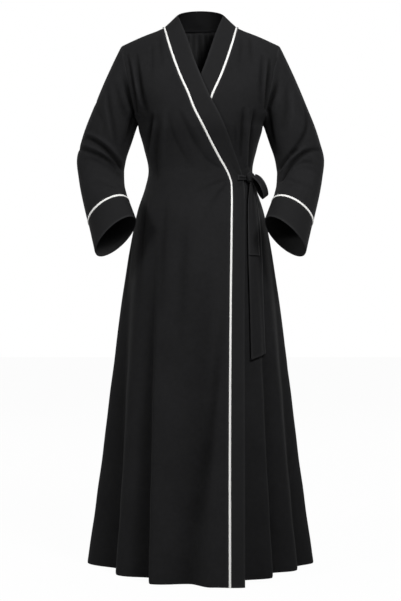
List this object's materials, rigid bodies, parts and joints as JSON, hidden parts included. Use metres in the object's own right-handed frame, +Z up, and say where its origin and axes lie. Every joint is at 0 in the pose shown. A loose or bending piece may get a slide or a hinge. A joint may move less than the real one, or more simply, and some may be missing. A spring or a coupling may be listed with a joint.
{
  "type": "prayer dress",
  "caption": "Floor-length wrap-front prayer dress with long cuffed sleeves, white piping and a side tie, hollow as worn.",
  "frame": {"origin": "midway between the high points of the two shoulders, where the wearer's shoulders carry the dress", "axes": "+Z up, -Y is the front of the dress, +X the wearer's left"},
  "size_m": [0.634, 0.5479, 1.4325],
  "materials": {
    "body_cloth": "matte black crepe with a soft dry hand",
    "band_cloth": "the same black crepe doubled and pressed, a little lighter",
    "piping": "white satin-faced flat piping"
  },
  "bodies": {
    "root": {"right_front_panel": "body_cloth", "left_front_panel": "body_cloth", "back_panel": "body_cloth", "right_sleeve": "body_cloth", "left_sleeve": "body_cloth", "right_band": "band_cloth", "left_band": "band_cloth", "neck_band": "band_cloth", "right_cuff": "band_cloth", "left_cuff": "band_cloth", "right_band_piping": "piping", "left_band_piping": "piping", "right_cuff_piping": "piping", "left_cuff_piping": "piping", "tie_strap": "band_cloth", "tie_knot": "band_cloth", "tie_loop": "band_cloth", "tie_tail_long": "band_cloth", "tie_tail_short": "band_cloth"}
  },
  "joints": []
}
